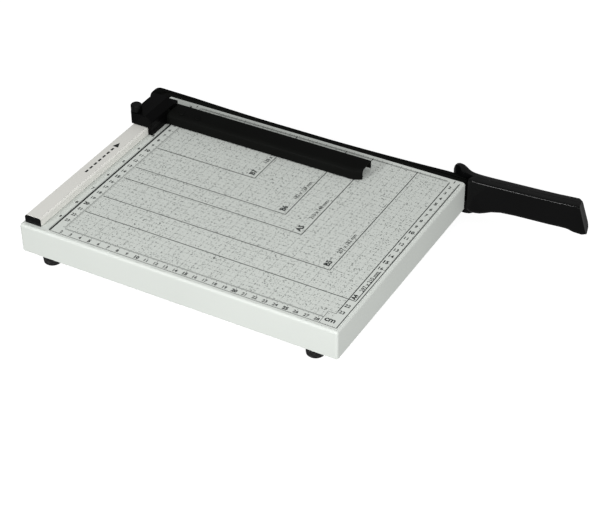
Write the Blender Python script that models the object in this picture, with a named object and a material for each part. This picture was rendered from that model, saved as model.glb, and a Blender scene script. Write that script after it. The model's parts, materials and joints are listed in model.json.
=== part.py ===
"""Guillotine paper cutter: a folded tray table, a knife arm on a pivot, and a paper clamp.

Every measure is in metres. Shapes are described in the table's own frame: x runs along the cut from
the paper stop, y starts at the cut (the front is negative) and z at the table's top. One empty
carries that frame, so that the whole cutter stands on z = 0, centred on the world origin.
"""
from math import cos, pi, radians, sin

import bmesh
import bpy
from mathutils import Vector

# --- Driving dimensions -------------------------------------------------------------------------
GAP = 0.0003                      # between pieces that touch

TABLE_LEFT, TABLE_RIGHT = -0.0211, 0.3037
TABLE_FRONT, TABLE_BACK = -0.2545, -0.0053
TABLE_DEPTH = 0.0297              # height of the tray's walls
SHEET = 0.0012
CLEAR = 0.001                     # how far a cutter stands clear of the face it opens
TABLE_EDGE_RADIUS = 0.0024
TABLE_CORNER_RADIUS = 0.0022
TABLE_BACK_RADIUS = 0.0006        # the back corners
SMALLEST_RADIUS = 0.0004
FLANGE = 0.006                    # return flange round the tray's open underside

GROUND = -0.0450                  # what the feet stand on
FOOT_X = (-0.0007, 0.2738)
FOOT_Y = (-0.2380, -0.0240)
FOOT_RADIUS = 0.0097
FOOT_SOLE_RADIUS = 0.0084
FOOT_RECESS_RADIUS = 0.0044
FOOT_EDGE = 0.0008                # chamfers at its sole and top
FOOT_SCREW_END = 0.0012           # the foot screw's end beyond its nut
FOOT_SEAT = -0.0345               # where the foot screw's head bears
RAIL_WIDTH, RAIL_HEIGHT, RAIL_SHEET = 0.026, 0.009, 0.0015

M4_RADIUS, M4_HOLE = 0.0020, 0.0023
M4_HEAD_RADIUS, M4_HEAD_HEIGHT = 0.0036, 0.0024
M4_NUT_FLATS, M4_NUT_HEIGHT = 0.007, 0.0032

FENCE_LEFT, FENCE_RIGHT, FENCE_HEIGHT = -0.0177, -0.0008, 0.008
FENCE_FRONT, FENCE_BACK = -0.2482, -0.0370
FENCE_SCREW_Y = (-0.229, -0.162, -0.095)
FENCE_X = (FENCE_LEFT + FENCE_RIGHT) / 2
FENCE_FOLD = 0.0012               # flat across the fence's bent edges
FENCE_SCREW_TIP = 0.0050
CORE_HALF_WIDTH = 0.0069
CORE_TOP = 0.0065
CAP_FACE = -0.2495
CAP_PLUG_BACK = -0.238
CAP_RADII = (0.0004, 0.0004, 0.0018, 0.0018)

PIVOT_X, PIVOT_Z = -0.0375, -0.0125
STUD_RADIUS, STUD_HOLE = 0.0038, 0.0041
STUD_CHAMFER = 0.0006
WASHER_RADIUS, WASHER_THICKNESS = 0.0085, 0.0010
DISC_SPRING_RADIUS, DISC_SPRING_HEIGHT, DISC_SPRING_RISE = 0.0075, 0.0013, 0.0005
PIVOT_NUT_FLATS, PIVOT_NUT_HEIGHT = 0.012, 0.0032
BED_INNER, BED_FACE = TABLE_BACK + GAP, 0.0   # fixed blade, front and back faces
BED_HEIGHT = 0.022
BED_LUG_RADIUS = 0.008
BED_NECK_X = PIVOT_X + 0.0130     # where the lug's round end starts
BED_SCREW_X = tuple(0.014 + 0.067 * i for i in range(5))
BED_SCREW_Z = -0.011

KNIFE_INNER, KNIFE_OUTER = GAP, 0.0022
KNIFE_LEFT, KNIFE_RIGHT = -0.008, 0.301
KNIFE_TOP = -0.0056
KNIFE_EDGE_ENDS, KNIFE_EDGE_SAG = -0.027, 0.005
KNIFE_GRIND = 0.006               # height of the ground bevel
KNIFE_EDGE_FLAT = 0.0003          # thickness left at the cutting edge
KNIFE_SCREW_X = (0.020, 0.105, 0.190, 0.272)
KNIFE_SCREW_Z = -0.0145

ARM_INNER, ARM_OUTER = 0.0025, 0.0061
ARM_EYE_RADIUS = 0.0116
ARM_BUSH_RADIUS = 0.0060
ARM_BOTTOM = -0.0235
ARM_TOP_LOW, ARM_TOP_RISE = -0.0038, 0.0034   # hollow top edge: its lowest point, its rise at the ends
ARM_HOLLOW_X, ARM_HOLLOW_SPAN = 0.125, 0.150
TANG_RIGHT = 0.402

HANDLE_FRONT, HANDLE_BACK = -0.0070, 0.0130
HANDLE_SPLIT = 0.0022             # the front shell ends here, the back shell starts a gap further on
HANDLE_ROUND = 0.0048
HANDLE_CREST = 0.0020             # the tighter round along the front half's top edge
HANDLE_RISE = 0.0030              # how much higher the grip's top is at its front than at its back
HANDLE_SCREW_X = (0.338, 0.388)
HANDLE_SCREW_Z = -0.0048
HANDLE_SCREW_SEAT = 0.0096
HANDLE_SCREW_LENGTH = 0.0130
HANDLE_SEAT_RADIUS = 0.0044
HANDLE_BLIND_END = -0.0036        # the front half's screw holes end here
HANDLE_TUCK = 0.0012              # the outline shrinks by this much at both ends
HANDLE_LEAN_STEPS = 6             # sections over which the guard's slant dies away
HANDLE_TAIL_SKEW = 0.0050         # how much shorter the tail is at its back

CLAMP_LEFT, CLAMP_RIGHT = 0.0048, 0.217
CLAMP_FRONT, CLAMP_BACK = -0.0503, -0.0273
CLAMP_TOP, CLAMP_FOOT, CLAMP_LIP = 0.0118, 0.0005, 0.0030
CLAMP_SHEET = 0.0016
CLAMP_NOSE = 0.0095               # length of the turned-in right end
CLAMP_NOSE_SETBACK = 0.0043
CLAMP_BEND_RADIUS, CLAMP_BACK_RADIUS = 0.0050, 0.0026
PAD_LEFT, PAD_RIGHT = 0.050, 0.206
PAD_THICKNESS, PAD_BOTTOM, PAD_TOP = 0.004, 0.0004, 0.0060

BLOCK_LEFT, BLOCK_RIGHT = -0.0188, 0.0042
BLOCK_FRONT, BLOCK_BACK = -0.0762, -0.0280
BLOCK_TOP = 0.0207
BLOCK_EDGE = 0.0009
BLOCK_UNDER = FENCE_HEIGHT + GAP
# the sloped right shoulder, as steps along x and z from the block's top right corner
BLOCK_SHOULDER = ((0.0, -0.0056), (-0.0012, -0.0042), (-0.0070, 0.0))
BLOCK_STEP_Y, BLOCK_STEP_TOP = -0.0350, 0.0146   # behind the step the block is lower
BLOCK_SCREWS = ((-0.006, -0.066), (-0.012, -0.0575))
BLOCK_SCREW_TIP = 0.0155
LEG_FRONT, LEG_BACK = -0.0750, -0.0390
LEG_ROOT = 0.0030                 # how far the leg reaches up into the block
SLOT_FRONT, SLOT_BACK = -0.0470, -0.0380      # the slot in the block that the clamp's tongue turns in
SLOT_LEFT, SLOT_RIGHT = -0.0115, BLOCK_RIGHT + 0.001
SLOT_BOTTOM, SLOT_MOUTH, SLOT_TOP = 0.0062, 0.0139, 0.0175
CLAMP_PIN_X, CLAMP_PIN_Z = -0.0065, 0.0124
PIN_RADIUS, PIN_HOLE = 0.0015, 0.0018
PIN_FRONT, PIN_LENGTH = -0.0515, 0.0157
PIN_END_GAP = 0.0005              # between each end of the pin and its blind hole
EYE_RADIUS = 0.0038
TONGUE_THICKNESS = 0.0024
TONGUE_FRONT, TONGUE_BACK = -0.0458, -0.0412
TONGUE_RIGHT = 0.045
RIVET_X = (0.018, 0.036)
KNOB_X, KNOB_Y, KNOB_RADIUS = -0.0156, -0.0705, 0.0055
KNOB_TOP = 0.0280
KNOB_BOSS_RADIUS = 0.0057
KNOB_PIN_RADIUS, KNOB_PIN_HOLE, KNOB_PIN_END = 0.0022, 0.0025, 0.0130

SPRING_WIRE, SPRING_COIL = 0.0003, 0.0024     # both are radii
SPRING_FRONT, SPRING_BACK = -0.0406, -0.0387
SPRING_TURNS = 2

# Where the table frame sits in the world: the cutter's outer sides are centred on the origin.
CUTTER_LEFT = PIVOT_X - ARM_EYE_RADIUS
CUTTER_RIGHT = 0.4239
STUD_END = 0.0135
CENTRE_X = (CUTTER_LEFT + CUTTER_RIGHT) / 2
CENTRE_Y = (TABLE_FRONT + STUD_END) / 2
TABLE_ORIGIN = Vector((-CENTRE_X, -CENTRE_Y, -GROUND))


# --- Scene and materials ------------------------------------------------------------------------
def clear_scene():
    for item in list(bpy.data.objects):
        bpy.data.objects.remove(item, do_unlink=True)


def material(name, colour, roughness, metallic=0.0):
    """A plain Principled material, made once."""
    existing = bpy.data.materials.get(name)
    if existing:
        return existing
    made = bpy.data.materials.new(name)
    made.use_nodes = True
    shader = made.node_tree.nodes["Principled BSDF"]
    shader.inputs["Base Color"].default_value = (*colour, 1.0)
    shader.inputs["Roughness"].default_value = roughness
    shader.inputs["Metallic"].default_value = metallic
    made.diffuse_color = (*colour, 1.0)
    return made


def table_paint():
    return material("table_paint", (0.58, 0.61, 0.58), 0.45)


def fence_paint():
    return material("fence_paint", (0.66, 0.65, 0.62), 0.45)


def black_paint():
    return material("black_paint", (0.012, 0.012, 0.013), 0.35)


def black_plastic():
    return material("black_plastic", (0.014, 0.014, 0.015), 0.42)


def rubber():
    return material("rubber", (0.02, 0.02, 0.02), 0.85)


def steel():
    return material("steel", (0.55, 0.56, 0.57), 0.3, 1.0)


def ground_steel():
    return material("ground_steel", (0.68, 0.69, 0.70), 0.22, 1.0)


def bronze():
    return material("bronze", (0.55, 0.40, 0.20), 0.35, 1.0)


def empty(name, location, parent=None):
    """An empty at a place in the table frame."""
    made = bpy.data.objects.new(name, None)
    bpy.context.collection.objects.link(made)
    made.parent = parent
    made.location = location
    return made


def add_mesh(name, points, faces, shade_angle=35):
    """A mesh object from points and faces, with its faces turned outwards."""
    mesh = bpy.data.meshes.new(name)
    shape = bmesh.new()
    corners = [shape.verts.new(point) for point in points]
    for face in faces:
        shape.faces.new([corners[index] for index in face])
    bmesh.ops.recalc_face_normals(shape, faces=shape.faces)
    shape.to_mesh(mesh)
    shape.free()
    mesh.shade_smooth()
    mesh.set_sharp_from_angle(angle=radians(shade_angle))
    made = bpy.data.objects.new(name, mesh)
    bpy.context.collection.objects.link(made)
    return made


def finish(piece, surface, frame):
    """Give a piece its material and its place in the tree."""
    piece.data.materials.append(surface)
    piece.parent = frame["empty"]
    piece.location = Vector(piece.location) - Vector(frame["at"])
    return piece


# --- Outlines -----------------------------------------------------------------------------------
def arc(centre, radius, start, end, steps):
    """Points on an arc, angles in degrees."""
    angles = [radians(start + (end - start) * i / steps) for i in range(steps + 1)]
    return [(centre[0] + radius * cos(a), centre[1] + radius * sin(a)) for a in angles]


def rounded_box(low, high, radii, steps=4):
    """A rectangle with round corners, anticlockwise from its low corner. Radii in that order."""
    corners = ((low[0], low[1], 1, 1, 180), (high[0], low[1], -1, 1, 270),
               (high[0], high[1], -1, -1, 0), (low[0], high[1], 1, -1, 90))
    points = []
    for (x, y, to_x, to_y, start), radius in zip(corners, radii):
        if radius == 0:
            points.append((x, y))
            continue
        centre = (x + to_x * radius, y + to_y * radius)
        points += arc(centre, radius, start, start + 90, steps)
    return points


def smooth_line(points, spans):
    """A Catmull-Rom curve through the points, with this many steps in each stretch."""
    ends = [2 * Vector(points[0]) - Vector(points[1])], [2 * Vector(points[-1]) - Vector(points[-2])]
    guide = ends[0] + [Vector(point) for point in points] + ends[1]
    line = []
    for i in range(1, len(guide) - 2):
        a, b, c, d = guide[i - 1:i + 3]
        for step in range(spans):
            t = step / spans
            line.append(0.5 * (2 * b + (c - a) * t + (2 * a - 5 * b + 4 * c - d) * t ** 2
                               + (3 * b - a - 3 * c + d) * t ** 3))
    return line + [guide[-2]]


# --- Solids -------------------------------------------------------------------------------------
def loft(name, loops, shade_angle=35):
    """A solid through loops of equally many points, closed by a flat face at each end."""
    count = len(loops[0])
    points = [point for loop in loops for point in loop]
    faces = []
    for ring in range(len(loops) - 1):
        for i in range(count):
            j = (i + 1) % count
            near, far = ring * count, (ring + 1) * count
            faces.append((near + i, near + j, far + j, far + i))
    faces.append(tuple(range(count)))
    faces.append(tuple(range((len(loops) - 1) * count, len(loops) * count)))
    return add_mesh(name, points, faces, shade_angle)


def plate(name, outline, y_low, y_high):
    """An outline of (x, z) points, thickened along y."""
    return loft(name, [[(x, y, z) for x, z in outline] for y in (y_low, y_high)])


def prism(name, outline, z_low, z_high):
    """An outline of (x, y) points, thickened along z."""
    return loft(name, [[(x, y, z) for x, y in outline] for z in (z_low, z_high)])


def beam(name, outline, x_low, x_high):
    """An outline of (y, z) points, thickened along x."""
    return loft(name, [[(x, y, z) for y, z in outline] for x in (x_low, x_high)])


def block(name, low, high):
    return prism(name, rounded_box(low[:2], high[:2], (0, 0, 0, 0)), low[2], high[2])


def turned(name, profile, place, along="Z", sides=24):
    """A solid of revolution. The profile is (radius, height) points, closed by the axis or on itself."""
    on_axis = profile[0][0] == 0
    rim = profile[1:-1] if on_axis else profile
    around = [2 * pi * k / sides for k in range(sides)]
    points = [(r * cos(angle), r * sin(angle), h) for r, h in rim for angle in around]
    rings = len(rim)
    faces = []
    for ring in range(rings - 1 if on_axis else rings):
        after = (ring + 1) % rings
        for k in range(sides):
            turn = (k + 1) % sides
            faces.append((ring * sides + k, ring * sides + turn, after * sides + turn, after * sides + k))
    if on_axis:
        faces.append(tuple(range(sides)))
        faces.append(tuple(range((rings - 1) * sides, rings * sides)))
    if along == "Y":
        points = [(x, h, y) for x, y, h in points]
    made = add_mesh(name, points, faces)
    made.location = place
    return made


def hex_nut(name, flats, bore, height, place, along="Z"):
    """A hexagonal nut with a round bore, its height from its place along the axis."""
    corners = flats / 2 / cos(pi / 6)
    sides = 12
    outer = []
    for k in range(sides):
        angle = 2 * pi * k / sides
        from_flat = (angle % (pi / 3)) - pi / 6
        reach = corners * cos(pi / 6) / cos(from_flat)
        outer.append((reach * cos(angle), reach * sin(angle)))
    inner = [(bore * cos(2 * pi * k / sides), bore * sin(2 * pi * k / sides)) for k in range(sides)]
    loops = [(outer, 0), (outer, height), (inner, height), (inner, 0)]
    points = [(x, y, h) for loop, h in loops for x, y in loop]
    faces = []
    for ring in range(4):
        after = (ring + 1) % 4
        for k in range(sides):
            turn = (k + 1) % sides
            faces.append((ring * sides + k, ring * sides + turn, after * sides + turn, after * sides + k))
    if along == "Y":
        points = [(x, h, y) for x, y, h in points]
    made = add_mesh(name, points, faces)
    made.location = place
    return made


def screw(name, place, length, along="Z", direction=1, head_radius=M4_HEAD_RADIUS):
    """A pan-head screw. Its head's underside is at its place and its shank runs along the direction."""
    height = M4_HEAD_HEIGHT
    profile = [(0, -height), (head_radius * 0.75, -height), (head_radius, -height * 0.5), (head_radius, 0),
               (M4_RADIUS, 0), (M4_RADIUS, length), (0, length)]
    return turned(name, [(r, direction * h) for r, h in profile], place, along, 12)


# --- Cuts and joins -----------------------------------------------------------------------------
def hide(tool):
    """A cutter stays in the file, out of the render."""
    tool.hide_render = True
    tool.display_type = "WIRE"


def combine(piece, frame, tools, operation):
    """A Boolean modifier for each tool. The tools hang on the same empty as the piece."""
    for tool in tools:
        tool.parent = frame["empty"]
        tool.location = Vector(tool.location) - Vector(frame["at"])
        change = piece.modifiers.new(operation.lower(), "BOOLEAN")
        change.operation = operation
        change.solver = "EXACT"
        change.object = tool
        hide(tool)


def cut(piece, frame, *tools):
    combine(piece, frame, tools, "DIFFERENCE")


def join(piece, frame, *tools):
    combine(piece, frame, tools, "UNION")


def hole(name, place, radius, length, along="Z", sides=12):
    """A round cutter that starts at its place."""
    return turned("cutter_" + name, [(0, 0), (radius, 0), (radius, length), (0, length)], place, along, sides)


def soften(piece, width, segments=2):
    """Rounded edges."""
    edge = piece.modifiers.new("soft_edges", "BEVEL")
    edge.width = width
    edge.segments = segments
    edge.limit_method = "ANGLE"
    edge.angle_limit = radians(40)


# --- Table --------------------------------------------------------------------------------------
def tray_loop(inset, height, back_inset):
    """One level of the tray: the table's outline drawn in by an inset. The back corners are sharp."""
    front_radius = max(TABLE_CORNER_RADIUS - inset, SMALLEST_RADIUS)
    radii = (front_radius, front_radius, TABLE_BACK_RADIUS, TABLE_BACK_RADIUS)
    low = (TABLE_LEFT + inset, TABLE_FRONT + inset)
    high = (TABLE_RIGHT - inset, TABLE_BACK - back_inset)
    return [(x, y, height) for x, y in rounded_box(low, high, radii, 5)]


def build_tray(base):
    """The table: a folded sheet tray, open below, with a return flange. Its back edge is square."""
    edge = TABLE_EDGE_RADIUS
    outside = arc((edge, -edge), edge, 90, 180, 6)
    inside = arc((edge, -edge), edge - SHEET, 180, 90, 6)
    bottom = -TABLE_DEPTH
    fold = [(0, bottom + 0.001), (0.001, bottom), (FLANGE, bottom), (FLANGE, bottom + SHEET),
            (SHEET, bottom + SHEET)]
    loops = [tray_loop(inset, height, 0.0) for inset, height in outside]
    loops += [tray_loop(inset, height, inset) for inset, height in fold]
    loops += [tray_loop(inset, height, SHEET) for inset, height in inside]
    tray = loft("base_tray", loops)
    through = SHEET + 2 * CLEAR
    top_holes = [hole(f"tray_fence_{i}", (FENCE_X, y, -SHEET - CLEAR), M4_HOLE, through)
                 for i, y in enumerate(FENCE_SCREW_Y)]
    top_holes += [hole(f"tray_block_{i}", (x, y, -SHEET - CLEAR), M4_HOLE, through)
                  for i, (x, y) in enumerate(BLOCK_SCREWS)]
    wall_holes = [hole(f"tray_bed_{i}", (x, TABLE_BACK - SHEET - CLEAR, BED_SCREW_Z), M4_HOLE, through, "Y")
                  for i, x in enumerate(BED_SCREW_X)]
    cut(tray, base, *top_holes, *wall_holes)
    finish(tray, table_paint(), base)


def build_rails(base):
    """Two channels across the tray's underside, which carry the feet."""
    under = -TABLE_DEPTH + SHEET + GAP
    left, right = TABLE_LEFT + SHEET + GAP, TABLE_RIGHT - SHEET - GAP
    wall = RAIL_SHEET
    for name, middle in zip(("foot_rail_front", "foot_rail_back"), FOOT_Y):
        y_low, y_high = middle - RAIL_WIDTH / 2, middle + RAIL_WIDTH / 2
        top = under + RAIL_HEIGHT
        section = [(y_low, top), (y_low, under), (y_high, under), (y_high, top), (y_high - wall, top),
                   (y_high - wall, under + wall), (y_low + wall, under + wall), (y_low + wall, top)]
        rail = beam(name, section, left, right)
        cut(rail, base, *[hole(f"{name}_{i}", (x, middle, under - 0.002), M4_HOLE, 0.006)
                          for i, x in enumerate(FOOT_X)])
        finish(rail, steel(), base)


def build_feet(base):
    """Four rubber feet, each held to its rail by a screw and a nut."""
    top = -TABLE_DEPTH + SHEET
    web_top = top + GAP + RAIL_SHEET
    profile = [(M4_HOLE, top), (M4_HOLE, FOOT_SEAT), (FOOT_RECESS_RADIUS, FOOT_SEAT),
               (FOOT_RECESS_RADIUS, GROUND), (FOOT_SOLE_RADIUS - FOOT_EDGE, GROUND),
               (FOOT_SOLE_RADIUS, GROUND + FOOT_EDGE), (FOOT_RADIUS, top - FOOT_EDGE),
               (FOOT_RADIUS - FOOT_EDGE, top)]
    places = [(x, y) for y in FOOT_Y for x in FOOT_X]
    for number, (x, y) in enumerate(places, 1):
        foot = turned(f"foot_{number}", profile, (x, y, 0))
        finish(foot, rubber(), base)
        nut_bottom = web_top + GAP
        tip = nut_bottom + M4_NUT_HEIGHT + FOOT_SCREW_END
        head = FOOT_SEAT - GAP
        finish(screw(f"foot_screw_{number}", (x, y, head), tip - head), steel(), base)
        nut = hex_nut(f"foot_nut_{number}", M4_NUT_FLATS, M4_HOLE, M4_NUT_HEIGHT, (x, y, nut_bottom))
        finish(nut, steel(), base)


def build_fence(base):
    """The paper stop: a folded channel over a core bar, with a moulded cap on its front end."""
    wall = SHEET
    left, right, top, fold = FENCE_LEFT, FENCE_RIGHT, FENCE_HEIGHT, FENCE_FOLD
    section = [(left, GAP), (left, top - fold), (left + fold, top), (right - fold, top), (right, top - fold),
               (right, GAP), (right - wall, GAP), (right - wall, top - wall), (left + wall, top - wall),
               (left + wall, GAP)]
    fence = plate("fence", section, FENCE_FRONT, FENCE_BACK)
    cut(fence, base, *[hole(f"fence_block_{i}", (x, y, FENCE_HEIGHT - 0.004), M4_HOLE, 0.006)
                       for i, (x, y) in enumerate(BLOCK_SCREWS)])
    finish(fence, fence_paint(), base)

    core_left, core_right = FENCE_X - CORE_HALF_WIDTH, FENCE_X + CORE_HALF_WIDTH
    core = block("fence_core", (core_left, CAP_PLUG_BACK + 0.001, GAP),
                 (core_right, FENCE_BACK - 0.001, CORE_TOP))
    holes = [hole(f"core_fence_{i}", (FENCE_X, y, -0.001), M4_HOLE, FENCE_SCREW_TIP + 0.0014)
             for i, y in enumerate(FENCE_SCREW_Y)]
    holes += [hole(f"core_block_{i}", (x, y, -0.001), M4_HOLE, 0.010)
              for i, (x, y) in enumerate(BLOCK_SCREWS)]
    cut(core, base, *holes)
    finish(core, steel(), base)

    face = rounded_box((left, GAP), (right, top), CAP_RADII)
    cap = plate("fence_end_cap", face, CAP_FACE, FENCE_FRONT - GAP)
    plug = block("cutter_cap_plug", (core_left, FENCE_FRONT - 2 * GAP, 2 * GAP),
                 (core_right, CAP_PLUG_BACK, CORE_TOP))
    join(cap, base, plug)
    finish(cap, black_plastic(), base)

    head = -SHEET - GAP
    for number, y in enumerate(FENCE_SCREW_Y, 1):
        finish(screw(f"fence_screw_{number}", (FENCE_X, y, head), FENCE_SCREW_TIP - head), steel(), base)


# --- Fixed blade and pivot ----------------------------------------------------------------------
def build_fixed_blade(base):
    """The fixed blade, which also carries the arm's pivot on a lug at its left end."""
    outline = [(TABLE_RIGHT - GAP, -BED_HEIGHT), (TABLE_RIGHT - GAP, 0), (BED_NECK_X, 0)]
    outline += arc((PIVOT_X, PIVOT_Z), BED_LUG_RADIUS, 100, 260, 12)
    outline += [(BED_NECK_X, -BED_HEIGHT)]
    blade = plate("counter_blade", outline, BED_INNER, BED_FACE)
    cutters = [hole(f"bed_{i}", (x, BED_INNER - 0.001, BED_SCREW_Z), M4_HOLE, 0.006, "Y")
               for i, x in enumerate(BED_SCREW_X)]
    cutters.append(hole("bed_stud", (PIVOT_X, BED_INNER - 0.001, PIVOT_Z), STUD_HOLE, 0.006, "Y", 24))
    cut(blade, base, *cutters)
    finish(blade, black_paint(), base)
    head = TABLE_BACK - SHEET - GAP
    for number, x in enumerate(BED_SCREW_X, 1):
        made = screw(f"counter_blade_screw_{number}", (x, head, BED_SCREW_Z), BED_FACE - GAP - head, "Y")
        finish(made, steel(), base)


def ring(name, outer, bore, y_low, y_high, surface, frame, rise=0.0):
    """A washer on the pivot. A rise makes it a cone."""
    profile = [(bore, y_low), (outer, y_low + rise), (outer, y_high), (bore, y_high - rise)]
    return finish(turned(name, profile, (PIVOT_X, 0, PIVOT_Z), "Y"), surface, frame)


def build_pivot(base, arm):
    """Stud, spacer, washer, disc spring and nut, and the bush that turns with the arm."""
    start = BED_INNER + GAP
    length = STUD_END - start
    profile = [(0, 0), (STUD_RADIUS, 0), (STUD_RADIUS, length - STUD_CHAMFER),
               (STUD_RADIUS - STUD_CHAMFER, length), (0, length)]
    stud = turned("pivot_stud", profile, (PIVOT_X, start, PIVOT_Z), "Y")
    finish(stud, steel(), base)
    ring("pivot_spacer", ARM_EYE_RADIUS, STUD_HOLE, BED_FACE + GAP, ARM_INNER - GAP, black_paint(), base)
    washer = ARM_OUTER + GAP
    ring("pivot_washer", WASHER_RADIUS, STUD_HOLE, washer, washer + WASHER_THICKNESS, steel(), base)
    spring = washer + WASHER_THICKNESS + GAP
    ring("pivot_disc_spring", DISC_SPRING_RADIUS, STUD_HOLE, spring, spring + DISC_SPRING_HEIGHT, steel(),
         base, DISC_SPRING_RISE)
    nut_at = (PIVOT_X, spring + DISC_SPRING_HEIGHT + GAP, PIVOT_Z)
    finish(hex_nut("pivot_nut", PIVOT_NUT_FLATS, STUD_HOLE, PIVOT_NUT_HEIGHT, nut_at, "Y"), steel(), base)
    ring("pivot_bush", ARM_BUSH_RADIUS, STUD_HOLE, ARM_INNER, ARM_OUTER, bronze(), arm)


# --- Arm ----------------------------------------------------------------------------------------
def arm_top(x):
    """The arm bar's top edge, hollow between the pivot and the handle."""
    return ARM_TOP_LOW + ARM_TOP_RISE * ((x - ARM_HOLLOW_X) / ARM_HOLLOW_SPAN) ** 2


def arm_outline(grow=0.0):
    """The arm bar's side view, with the tang that the handle closes over."""
    eye = arc((PIVOT_X, PIVOT_Z), ARM_EYE_RADIUS + grow, 90, 270, 16)
    stations = [0.020 * i for i in range(15)]
    top = [(x, arm_top(x) + grow) for x in reversed(stations)]
    tang = [(0.318, -0.0215 - grow), (0.326, -0.012 - grow), (TANG_RIGHT + grow, -0.0075 - grow),
            (TANG_RIGHT + grow, 0.0020 + grow), (0.300, -0.0004 + grow)]
    return eye + [(0.305, ARM_BOTTOM - grow)] + tang + top


def build_arm_bar(arm):
    bar = plate("arm_bar", arm_outline(), ARM_INNER, ARM_OUTER)
    start, length = ARM_INNER - 0.002, 0.008
    cutters = [hole(f"arm_knife_{i}", (x, start, KNIFE_SCREW_Z), M4_HOLE, length, "Y")
               for i, x in enumerate(KNIFE_SCREW_X)]
    cutters += [hole(f"arm_handle_{i}", (x, start, HANDLE_SCREW_Z), M4_HOLE, length, "Y")
                for i, x in enumerate(HANDLE_SCREW_X)]
    cutters.append(hole("arm_eye", (PIVOT_X, start, PIVOT_Z), ARM_BUSH_RADIUS + GAP, length, "Y", 24))
    cut(bar, arm, *cutters)
    finish(bar, black_paint(), arm)


def knife_edge(x):
    """The knife's cutting edge: a shallow arc, lowest at mid length."""
    middle = (KNIFE_LEFT + KNIFE_RIGHT) / 2
    reach = (x - middle) / (KNIFE_RIGHT - middle)
    return KNIFE_EDGE_ENDS - KNIFE_EDGE_SAG * (1 - reach ** 2)


def build_knife(arm):
    """The knife, ground on its outer face, and the four screws that hold it to the arm bar."""
    steps = 20
    loops = []
    for i in range(steps + 1):
        x = KNIFE_LEFT + (KNIFE_RIGHT - KNIFE_LEFT) * i / steps
        edge = knife_edge(x)
        section = [(KNIFE_INNER, KNIFE_TOP), (KNIFE_OUTER, KNIFE_TOP), (KNIFE_OUTER, edge + KNIFE_GRIND),
                   (KNIFE_INNER + KNIFE_EDGE_FLAT, edge), (KNIFE_INNER, edge)]
        loops.append([(x, y, z) for y, z in section])
    knife = loft("knife", loops)
    cut(knife, arm, *[hole(f"knife_{i}", (x, KNIFE_INNER - 0.001, KNIFE_SCREW_Z), M4_HOLE, 0.005, "Y")
                      for i, x in enumerate(KNIFE_SCREW_X)])
    finish(knife, ground_steel(), arm)
    head = ARM_OUTER + GAP
    for number, x in enumerate(KNIFE_SCREW_X, 1):
        made = screw(f"knife_screw_{number}", (x, head, KNIFE_SCREW_Z), head - KNIFE_INNER - GAP, "Y", -1)
        finish(made, steel(), arm)


# --- Handle -------------------------------------------------------------------------------------
GRIP_TOP_LINE = ((0.3062, 0.0037), (0.3170, 0.0032), (0.3450, 0.0044), (0.3850, 0.0064), (0.3985, 0.0074),
                 (0.4075, 0.0081), (0.4161, 0.0087))
GRIP_BOTTOM_LINE = ((0.3062, -0.0318), (0.3190, -0.0303), (0.3400, -0.0224), (0.3860, -0.0194),
                    (0.4045, -0.0182), (0.4118, -0.0196), (0.4250, -0.0199))
GUARD_TOP_LINE = ((0.2850, 0.0024), (0.2886, 0.0088), (0.2952, 0.0090), (0.3035, 0.0041))
GUARD_BOTTOM_LINE = ((0.2850, -0.0335), (0.2888, -0.0370), (0.2960, -0.0388), (0.3062, -0.0382))
GUARD_SLANT = 0.0065              # the guard's front face leans back by this much at its left end


def handle_shell(name, y_flat, y_round, crest, top_line, bottom_line, slant):
    """One half of the handle: flat where the halves meet, round outside, slanted at its tail.

    Its top slopes down to the back, and the crest is the round of its outer top edge.
    """
    top, bottom = smooth_line(top_line, 3), smooth_line(bottom_line, 3)
    outward = 1 if y_round > y_flat else -1
    loops = []
    last = len(top) - 1
    depth = HANDLE_BACK - HANDLE_FRONT
    for i, (high, low) in enumerate(zip(top, bottom)):
        tuck = HANDLE_TUCK if i in (0, last) else 0.0
        lean = slant * max(0.0, 1 - i / HANDLE_LEAN_STEPS)
        flat, far = y_flat + lean, y_round - outward * tuck
        thickness = 0.8 * abs(far - flat)
        radius, top_radius = min(HANDLE_ROUND, thickness), min(crest, thickness)
        height = high[1] - low[1] - 2 * tuck
        outline = [(flat, 0), (flat, height)]
        outline += [(far - outward * top_radius * (1 - sin(a)), height - top_radius * (1 - cos(a)))
                    for a in (radians(15 * k) for k in range(7))]
        outline += [(far - outward * radius * (1 - cos(a)), radius * (1 - sin(a)))
                    for a in (radians(15 * k) for k in range(7))]
        skew = HANDLE_TAIL_SKEW * (i / last) ** 2 / depth
        run = (high[0] - low[0]) / height
        rise = HANDLE_RISE / depth / height
        loops.append([(low[0] + run * h - skew * (y - HANDLE_FRONT), y,
                       low[1] + tuck + h * (1 + rise * (HANDLE_BACK - y)))
                      for y, h in outline])
    shell = loft(name, loops, 50)
    shell.modifiers.new("flat_faces", "TRIANGULATE")
    return shell


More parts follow.
